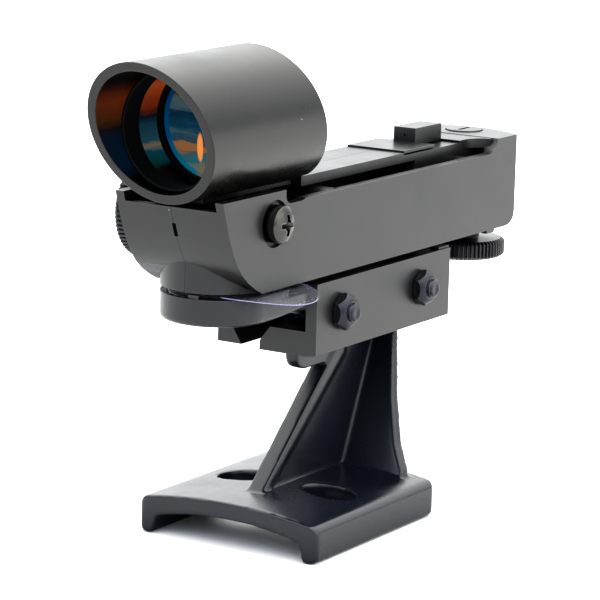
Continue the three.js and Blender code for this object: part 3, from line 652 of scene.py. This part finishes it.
def board_material():
    material, tree, shader, where = start_material("board_laminate")
    weave = add_node(tree, "ShaderNodeTexBrick", Scale=900.0)
    tree.links.new(where, weave.inputs["Vector"])
    tint = blend_colour(tree, noise(tree, where, 300.0), (0.02, 0.14, 0.05), (0.05, 0.24, 0.09))
    tree.links.new(tint, shader.inputs["Base Color"])
    shader.inputs["Roughness"].default_value = 0.4
    bump(tree, shader, weave.outputs["Fac"], 0.02 * MM, 0.4)
    return material


def led_material():
    material, tree, shader, where = start_material("led_epoxy")
    cloud = noise(tree, where, 500.0)
    tint = blend_colour(tree, cloud, (0.6, 0.02, 0.01), (0.8, 0.06, 0.04))
    tree.links.new(tint, shader.inputs["Base Color"])
    tree.links.new(spread(tree, cloud, 0.0, 1.0, 0.1, 0.2), shader.inputs["Roughness"])
    shader.inputs["Transmission Weight"].default_value = 0.5
    return material


# Each row: darker and lighter colour, roughness, grain scale and grain depth in millimetres,
# then the share of dust specks and the strength of the sheen where they differ.
PLASTICS = {
    "bracket_plastic": ((0.003, 0.004, 0.008), (0.005, 0.007, 0.013), 0.25, COARSE_GRAIN, 0.006),
    "clamp_plastic": ((0.004, 0.004, 0.0045), (0.007, 0.007, 0.008), 0.33, FINE_GRAIN, 0.012),
    "case_plastic": ((0.004, 0.004, 0.0045), (0.007, 0.007, 0.008), 0.31, FINE_GRAIN, 0.014),
    "cover_plastic": ((0.003, 0.003, 0.005), (0.006, 0.006, 0.009), 0.28, FINE_GRAIN, 0.012),
    "tube_plastic": ((0.004, 0.004, 0.004), (0.007, 0.007, 0.0065), 0.29, FINE_GRAIN, 0.01, 0.06, 0.38),
    "knob_plastic": ((0.004, 0.004, 0.006), (0.007, 0.007, 0.009), 0.28, KNOB_GRAIN, 0.01),
    "baffle_black": ((0.002, 0.002, 0.002), (0.003, 0.003, 0.003), 0.5, FINE_GRAIN, 0.02, 0.0, 0.1),
    "cap_black": ((0.004, 0.004, 0.005), (0.008, 0.008, 0.009), 0.3, FINE_GRAIN, 0.01),
}

# Each row: colour and roughness.
METALS = {
    "fastener_steel": ((0.045, 0.045, 0.055), 0.33),
    "screw_steel": ((0.075, 0.075, 0.07), 0.2),
    "shaft_steel": ((0.35, 0.35, 0.36), 0.3),
    "nut_brass": ((0.62, 0.45, 0.2), 0.3),
    "contact_metal": ((0.3, 0.26, 0.18), 0.3),
    "cell_steel": ((0.14, 0.14, 0.14), 0.3),
    "pot_case": ((0.06, 0.06, 0.07), 0.45),
}

MATERIALS = {
    **{name: plastic(name, *look) for name, look in PLASTICS.items()},
    **{name: metal(name, *look) for name, look in METALS.items()},
    "clear_film": film_material(),
    "board_laminate": board_material(),
    "lens_glass": lens_material(),
    "led_epoxy": led_material(),
}


def finish_cad_nodes():
    """Every carried-over CAD node gets its slot's material."""
    for node, obj in frame["nodes"].items():
        obj.data.materials.clear()
        obj.data.materials.append(MATERIALS[SLOT_OF[node]])


# ---------------------------------------------------------------- moulded parts


SEAM_GAP = 0.04  # from the middle plane to each case half
BRACKET_SKIN = 0.4  # size of the remeshed faces

EDGE_ROUNDING = {
    "dovetail_foot": 0.3,
    "clamp_plate": 0.3,
    "housing_left": 0.35,
    "housing_right": 0.35,
    "battery_cover": 0.35,
    "led_housing": 0.25,
    "brightness_potentiometer": 0.2,
    "circuit_board": 0.1,
}


def add_moulded_parts():
    for node, width in EDGE_ROUNDING.items():
        piece = cleaned_copy(node)
        if node.startswith("housing"):
            close_seam(piece)
        soften(piece, width)
        stands_for(piece, node)


def close_seam(half):
    """Brings the two case halves to a hairline of each other."""
    for vertex in half.data.vertices:
        offset = (vertex.co.x - SIGHT.x) / MM
        if abs(offset) < 0.2:
            vertex.co.x = SIGHT.x + math.copysign(SEAM_GAP * MM, offset)


def add_bracket():
    """The casting, with every edge softly rounded."""
    bracket = cleaned_copy("bracket")
    remesh = bracket.modifiers.new("skin", "REMESH")
    remesh.mode = "VOXEL"
    remesh.voxel_size = BRACKET_SKIN * MM
    smooth = bracket.modifiers.new("relax", "SMOOTH")
    smooth.factor = 0.6
    smooth.iterations = 10
    apply_modifiers(bracket)
    crease(bracket, 60)
    stands_for(bracket, "bracket")


# ---------------------------------------------------------------- sight tube and optics


# Each pair: Y and the outer radius there.
TUBE_FRONT = (-70.0, 14.65)
TUBE_REAR = (-5.0, 14.95)
TUBE_STEPS = 224
BORE = 12.7
REAR_BORE = 11.6

# Each slanting end: its Y at the height of the tube's axis, and its slope.
FRONT_CUT = (-60.05, -0.41)
REAR_CUT = (-18.4, -0.36)

LENS_SEAT = -35.5
LENS_RADIUS = 12.3
LENS_EDGE = 2.2
LENS_RISE = 0.9

# Opposite corners.
PEDESTAL = ((-6, -50, 78), (6, -17.4, 79.3))
LEG = ((-5, -42.9, 69), (5, -39.7, 79.2))
BEAM_NOTCH = ((-8.5, -16.1, 70), (8.5, 0, 79.8))

# Each ring in the bore: inner radius, front Y and rear Y.
RINGS = {
    "lens_retaining_ring": (11.5, LENS_SEAT - 4.6, LENS_SEAT - 2.9),
    "front_baffle_ring": (11.7, LENS_SEAT - 17, LENS_SEAT - 11.5),
}
RING_RADIUS = BORE - 0.3


def end_cut(cut, height):
    """Y of a slanting end at a height above the tube's axis."""
    level, slope = cut
    return level + slope * height


def tube_radius(y):
    part = (y - TUBE_FRONT[0]) / (TUBE_REAR[0] - TUBE_FRONT[0])
    return TUBE_FRONT[1] + part * (TUBE_REAR[1] - TUBE_FRONT[1])


def tube_section(angle):
    """The wall at one angle round the tube, as (radius, y) pairs from the rear rim forwards."""
    rise = math.sin(angle)
    front = end_cut(FRONT_CUT, tube_radius(-60.0) * rise)
    rear = end_cut(REAR_CUT, tube_radius(-18.0) * rise)
    return [
        (REAR_BORE, end_cut(REAR_CUT, REAR_BORE * rise)),
        (tube_radius(rear), rear),
        (tube_radius(front), front),
        (BORE, end_cut(FRONT_CUT, BORE * rise)),
        (BORE, LENS_SEAT),
        (REAR_BORE, LENS_SEAT),
    ]


def barrel():
    """The tube's wall, carried round its axis."""
    bm = bmesh.new()
    loops = []
    for i in range(TUBE_STEPS):
        angle = 2 * math.pi * i / TUBE_STEPS
        loop = []
        for radius, y in rounded(tube_section(angle), 0.3, closed=True):
            point = place(radius * math.cos(angle), y, TUBE_Z + radius * math.sin(angle))
            loop.append(bm.verts.new(point))
        loops.append(loop)
    for i, loop in enumerate(loops):
        bridge(bm, loop, loops[(i + 1) % TUBE_STEPS], len(loop))
    return mesh_object("sight_tube_fine", bm)


def add_tube():
    tube = barrel()
    carve(tube, block("pedestal", *PEDESTAL), "UNION")
    carve(tube, block("leg", *LEG), "UNION")
    carve(tube, block("beam_notch", *BEAM_NOTCH))
    crease(tube)
    stands_for(tube, "sight_tube", bore_material())
    show_bore(tube)


def show_bore(tube):
    """The wall ahead of the lens gets the second material: glossy black with painted reflections."""
    axis = place(0, 0, TUBE_Z)
    for face in tube.data.polygons:
        centre = (face.center - axis) / MM
        inward = math.hypot(centre.x, centre.z) < BORE + 0.05 and centre.y < LENS_SEAT - 0.5
        face.material_index = int(inward and abs(face.normal.y) < 0.3)


def add_lens():
    """A disc with a domed front."""
    seat = LENS_SEAT - 0.3
    steps = 14
    profile = [(0, seat), (LENS_RADIUS, seat)]
    for i in range(steps + 1):
        part = 1 - i / steps
        profile.append((LENS_RADIUS * part, seat - LENS_EDGE - LENS_RISE * (1 - part**2)))
    lens = turned("reflector_lens_fine", profile, 112, "y", place(0, 0, TUBE_Z))
    crease(lens)
    stands_for(lens, "reflector_lens")


def add_rings():
    for node, (inner, front, rear) in RINGS.items():
        section = [(inner, front), (RING_RADIUS, front), (RING_RADIUS, rear), (inner, rear)]
        profile = rounded(section, 0.25, closed=True)
        ring = turned(f"{node}_fine", profile, 112, "y", place(0, 0, TUBE_Z))
        crease(ring)
        stands_for(ring, node)


# ---------------------------------------------------------------- adjusters


KNOB_RADIUS = 10.37
KNOB_RIM = 9.5
KNOB_DISH = 7.2
KNOB_HUB = 4.4
KNOB_BORE = 2.3
SHAFT_RADIUS = 2
CAP_RADIUS = 4.1
CAP_START = 75.6
PIVOT = (-34.0, 72.6)  # Y and Z of the cross shaft
CASE_TOP = 79.6


def ridges(count, depth, rim):
    """Rounded ridges round everything outside the rim radius."""

    def shape(radius, distance, angle):
        if radius < rim:
            return radius, distance
        wave = 0.5 + 0.5 * math.cos(count * angle)
        crest = min(1.0, max(0.0, (wave - 0.2) / 0.5))
        return radius - depth * (1 - crest), distance

    return shape


def knob_profile(start, thick, hub_length):
    """From the dished outer face at start to the end of the hub."""
    inner = start + thick
    corners = [
        (KNOB_BORE, start + 1),
        (KNOB_DISH, start + 1),
        (7.9, start),
        (KNOB_RIM, start),
        (KNOB_RADIUS, start + 0.6),
        (KNOB_RADIUS, inner - 0.6),
        (KNOB_RIM, inner),
        (KNOB_HUB, inner),
        (KNOB_HUB, inner + hub_length),
        (KNOB_BORE, inner + hub_length),
    ]
    return rounded(corners, 0.3, closed=True)


def add_knobs():
    grip = ridges(64, 0.42, 9.4)
    side = turned("azimuth_knob_fine", knob_profile(-20, 6.2, 0.4), 512, "x", place(0, *PIVOT), grip)
    low = turned("altitude_knob_fine", knob_profile(50.6, 4.2, 3.6), 512, "z", place(0, STUD, 0), grip)
    for knob, node in ((side, "azimuth_knob"), (low, "altitude_knob")):
        crease(knob, 50)
        stands_for(knob, node)


def add_cross_shaft():
    profile = rounded([(0, -18.8), (SHAFT_RADIUS, -18.8), (SHAFT_RADIUS, 8), (0, 8)], 0.35)
    shaft = turned("azimuth_shaft_fine", profile, 48, "x", place(0, *PIVOT))
    crease(shaft)
    stands_for(shaft, "azimuth_shaft")


def add_upright_shaft():
    """The shaft with its black cap on top, which has a screwdriver slot."""
    top = CASE_TOP + 0.3
    section = [
        (0, 51.8),
        (SHAFT_RADIUS, 51.8),
        (SHAFT_RADIUS, CAP_START),
        (CAP_RADIUS, CAP_START),
        (CAP_RADIUS, top),
        (0, top),
    ]
    shaft = turned("altitude_shaft_fine", rounded(section, 0.3), 64, "z", place(0, STUD, 0))
    slot = block("slot", (-0.45, STUD - 2.4, CASE_TOP - 0.5), (0.45, STUD + 2.4, CASE_TOP + 1))
    carve(shaft, slot)
    crease(shaft)
    stands_for(shaft, "altitude_shaft", MATERIALS["cap_black"])
    cap_bottom = place(0, 0, CAP_START + 0.1).z
    for face in shaft.data.polygons:
        face.material_index = int(face.center.z > cap_bottom)


# ---------------------------------------------------------------- screws, bolts and nuts


def threaded(pitch, depth, start, end, radius):
    """A fine thread on everything of that radius between two distances."""

    def shape(r, distance, angle):
        if abs(r - radius) > 0.01 or not start <= distance <= end:
            return r, distance
        phase = (distance / pitch + angle / (2 * math.pi)) % 1.0
        return r - depth * abs(2 * phase - 1), distance

    return shape


def shank(radius, start, end, pitch):
    """Evenly spaced points along a threaded shank, four to a pitch."""
    count = int(round((end - start) / pitch * 4))
    return [(radius, start + (end - start) * i / count) for i in range(count + 1)]


def cross_recess(face, depth, reach, width, centre):
    """Two crossed tapering blades, to be cut into a face along X. The depth's sign is their direction."""
    outline = [
        (face - depth * 0.15, reach),
        (face + depth, reach * 0.45),
        (face + depth, -reach * 0.45),
        (face - depth * 0.15, -reach),
    ]
    return [prism("blade", outline, axis, -width / 2, width / 2, centre) for axis in ("y", "z")]


def add_pivot_screw():
    """A threaded screw with a domed head and a cross recess."""
    centre = place(0, *PIVOT)
    face, shoulder, crown, head_radius = 12.6, 2.4, 1.3, 3.9
    shaft = shank(2, 8.4, face - 0.1, 0.7)
    profile = [(0, 8.3), *shaft, (2.05, face), (head_radius, face), (head_radius, face + shoulder)]
    steps = 8
    for i in range(1, steps + 1):
        turn = math.pi / 2 * i / steps
        radius = head_radius * math.cos(turn) if i < steps else 0
        profile.append((radius, face + shoulder + crown * math.sin(turn) ** 1.5))
    thread = threaded(0.7, 0.25, 8.3, face - 0.1, 2)
    screw = turned("pivot_screw_fine", profile, 96, "x", centre, thread)
    for blade in cross_recess(face + shoulder + crown, -2.2, 2.6, 1.0, centre):
        carve(screw, blade)
    well = [(0, face + 1.4), (0.5, face + 1.4), (1.5, face + 4.5), (0, face + 4.5)]
    carve(screw, turned("well", well, 24, "x", centre))
    crease(screw, 40)
    stands_for(screw, "pivot_screw")


def add_case_screws():
    head = -11.6
    for node in ("case_screw_front", "case_screw_middle", "case_screw_rear"):
        spot = middle(node)
        centre = Vector((SIGHT.x, spot.y, spot.z))
        top = [(0, head - 1.2), (2.0, head - 1.15), (2.8, head - 0.6), (2.8, head), (1.4, head)]
        profile = [*rounded(top, 0.25), *shank(1.4, head + 0.3, 8.2, 1.0), (0, 8.7)]
        thread = threaded(1.0, 0.2, head + 0.3, 8.2, 1.4)
        screw = turned(f"{node}_fine", profile, 48, "x", centre, thread)
        for blade in cross_recess(head - 1.2, 0.9, 1.5, 0.5, centre):
            carve(screw, blade)
        crease(screw, 40)
        stands_for(screw, node)


def add_bolts_and_nuts():
    for end in ("front", "rear"):
        spot = middle(f"clamp_nut_{end}")
        centre = Vector((SIGHT.x, spot.y, spot.z))
        stands_for(clamp_bolt(end, centre), f"clamp_bolt_{end}")
        stands_for(clamp_nut(end, centre), f"clamp_nut_{end}")


def clamp_bolt(end, centre):
    """A bolt with a hexagon socket, threaded at its tip."""
    start, tip = -11.8, 16.9
    head = [(0, start - 2.6), (3.1, start - 2.6), (3.5, start - 2.1), (3.5, start), (2, start)]
    tail = [(1.55, tip - 0.05), (1.2, tip), (0.7, tip - 0.15), (0, tip - 0.2)]
    profile = [*rounded(head, 0.2), *shank(2, start + 0.2, tip - 0.4, 0.7), *tail]
    thread = threaded(0.7, 0.32, 9, tip - 0.4, 2)
    bolt = turned(f"clamp_bolt_{end}_fine", profile, 64, "x", centre, thread)
    carve(bolt, prism("socket", polygon(1.7, 6), "x", start - 3, start - 1, centre))
    crease(bolt, 40)
    return bolt


def clamp_nut(end, centre):
    """A hexagon nut with chamfered faces."""
    start = 13.3
    nut = prism(f"clamp_nut_{end}_fine", polygon(4.04, 6, math.pi / 6), "x", start, start + 2.5, centre)
    cone = [
        (0, start - 0.2),
        (3.7, start - 0.2),
        (4.02, start + 0.3),
        (4.02, start + 1.0),
        (2.8, start + 2.5),
        (0, start + 2.7),
    ]
    carve(nut, turned("cone", rounded(cone, 0.5, steps=5), 64, "x", centre), "INTERSECT")
    carve(nut, turned("bore", [(0, 10), (2.1, 10), (2.1, 20), (0, 20)], 48, "x", centre))
    soften(nut, 0.22, 3, 22)
    return nut


# ---------------------------------------------------------------- battery, film and electronics


CUP_CENTRE = -35.4  # Y of the battery cup's centre
CUP_RADIUS = 11.6
FILM_THICKNESS = 0.14
FILM_STEPS = 6  # faces from the film's middle line to each side
FILM_DROOP = 1.1


def add_cell():
    """The coin cell, with its smaller contact face downwards."""
    profile = [(0, 54.6), (8.8, 54.6), (9.1, 55.1), (10, 55.4), (10, 57.5), (9.7, 57.8), (0, 57.8)]
    cell = turned("coin_cell_fine", rounded(profile, 0.25), 128, "z", place(0, CUP_CENTRE, 0))
    crease(cell)
    stands_for(cell, "coin_cell")


def add_film():
    """A thin strip with a round end that droops past the cover."""
    end_x, centre_y, radius = 9.6, -32.6, 11.4
    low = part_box("battery_pull_tab")[0]
    left = (low.x - SIGHT.x) / MM
    bm = bmesh.new()
    rows = []
    columns = 60
    for i in range(columns + 1):
        x = left + (end_x + radius - left) * math.sin(math.pi / 2 * i / columns)
        half = radius if x <= end_x else math.sqrt(max(0.0, radius**2 - (x - end_x) ** 2))
        half = max(half, 0.02)
        droop = FILM_DROOP * max(0.0, (x - CUP_RADIUS) / (end_x + radius - CUP_RADIUS)) ** 2
        z = low.z / MM + 0.02 - droop
        row = [place(x, centre_y + half * side / FILM_STEPS, z + lift) for side, lift in film_section()]
        rows.append([bm.verts.new(point) for point in row])
    for first, second in zip(rows, rows[1:]):
        bridge(bm, first, second, len(first))
    for row in (rows[0], rows[-1]):
        bm.faces.new(row)
    film = mesh_object("battery_pull_tab_fine", bm)
    crease(film)
    stands_for(film, "battery_pull_tab", film_edge_material())
    for face in film.data.polygons:
        beyond_cover = face.center.x > place(7, 0, 0).x
        face.material_index = int(abs(face.normal.z) < 0.6 and beyond_cover)


def film_section():
    """Across the strip: the top from one side to the other, then the underside back."""
    across = range(-FILM_STEPS, FILM_STEPS + 1)
    top = [(side, FILM_THICKNESS) for side in across]
    return top + [(side, 0.0) for side in reversed(across)]


def add_wheel():
    section = [(1.8, 67.4), (7.8, 67.4), (7.8, 70.4), (1.8, 70.4)]
    profile = rounded(section, 0.3, closed=True)
    grip = ridges(30, 0.4, 7.7)
    wheel = turned("brightness_wheel_fine", profile, 240, "z", place(-7.6, 14, 0), grip)
    crease(wheel, 50)
    stands_for(wheel, "brightness_wheel")


def add_lamp():
    profile = [(0, 41.3), (0.45, 41.4), (0.8, 41.8), (0.9, 42.3), (0.9, 47.8), (0, 47.8)]
    lamp = turned("led_fine", rounded(profile, 0.1), 32, "y", place(0, 0, 81.3))
    crease(lamp)
    stands_for(lamp, "led")


# ---------------------------------------------------------------- build

add_camera()
add_floor()
add_light()
finish_cad_nodes()
add_moulded_parts()
add_bracket()
add_tube()
add_lens()
add_rings()
add_knobs()
add_cross_shaft()
add_upright_shaft()
add_pivot_screw()
add_case_screws()
add_bolts_and_nuts()
add_cell()
add_film()
add_wheel()
add_lamp()
